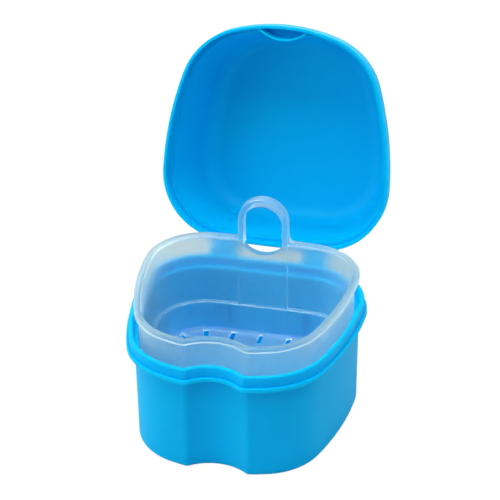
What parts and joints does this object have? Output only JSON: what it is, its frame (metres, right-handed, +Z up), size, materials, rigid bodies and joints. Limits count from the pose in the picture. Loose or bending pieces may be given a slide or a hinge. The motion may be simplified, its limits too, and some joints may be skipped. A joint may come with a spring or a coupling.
{
  "type": "denture case",
  "caption": "Hinged case for a denture: a deep tub with a cleft front, a domed lid swung open, and a lift-out strainer basket with a finger loop.",
  "frame": {"origin": "centre of the tub's flat underside, on the surface that the case stands on", "axes": "+Z up, +Y towards the hinge at the back, +X to the right seen from the front"},
  "size_m": [0.0808, 0.1336, 0.1178],
  "materials": {
    "blue_plastic": "satin moulded polypropylene, sky blue",
    "frosted_plastic": "frosted natural polypropylene, translucent",
    "pin_steel": "drawn stainless wire"
  },
  "bodies": {
    "base": {"tub": "blue_plastic", "hinge_pin_left": "pin_steel", "hinge_pin_right": "pin_steel"},
    "lid": {"lid": "blue_plastic"},
    "basket": {"strainer_basket": "frosted_plastic"}
  },
  "joints": [
    {"name": "lid_hinge", "type": "hinge", "parent": "base", "child": "lid", "pos_m": [0, 0.0433, 0.038], "axis": [1, 0, 0], "range_deg": [0, 105.6]},
    {"name": "basket_lift", "type": "slide", "parent": "base", "child": "basket", "axis": [0, 0, 1], "range_m": [0, 0.001]}
  ]
}
